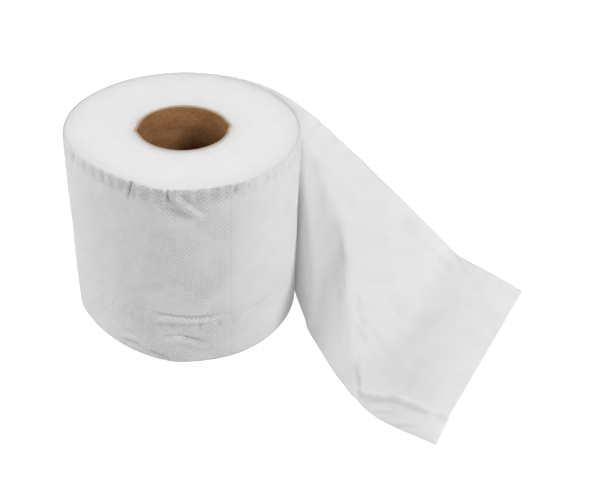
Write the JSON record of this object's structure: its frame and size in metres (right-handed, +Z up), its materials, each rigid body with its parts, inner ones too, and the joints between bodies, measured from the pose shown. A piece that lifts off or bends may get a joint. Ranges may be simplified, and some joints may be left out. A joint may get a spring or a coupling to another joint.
{
  "type": "toilet paper roll",
  "caption": "Soft embossed paper roll on a creased card core, standing on its end, with a loose tail of paper draped to the floor.",
  "frame": {"origin": "on the axis of the card core, in the plane of the base that the roll stands on", "axes": "+Z up along the core's axis; the loose tail leaves the roll towards +X and trails to -Y"},
  "size_m": [0.2146, 0.1668, 0.0964],
  "materials": {
    "card": "matte grey-brown card",
    "tissue": "matte soft white tissue"
  },
  "bodies": {
    "root": {"card_core": "card", "paper_web": "tissue"}
  },
  "joints": []
}
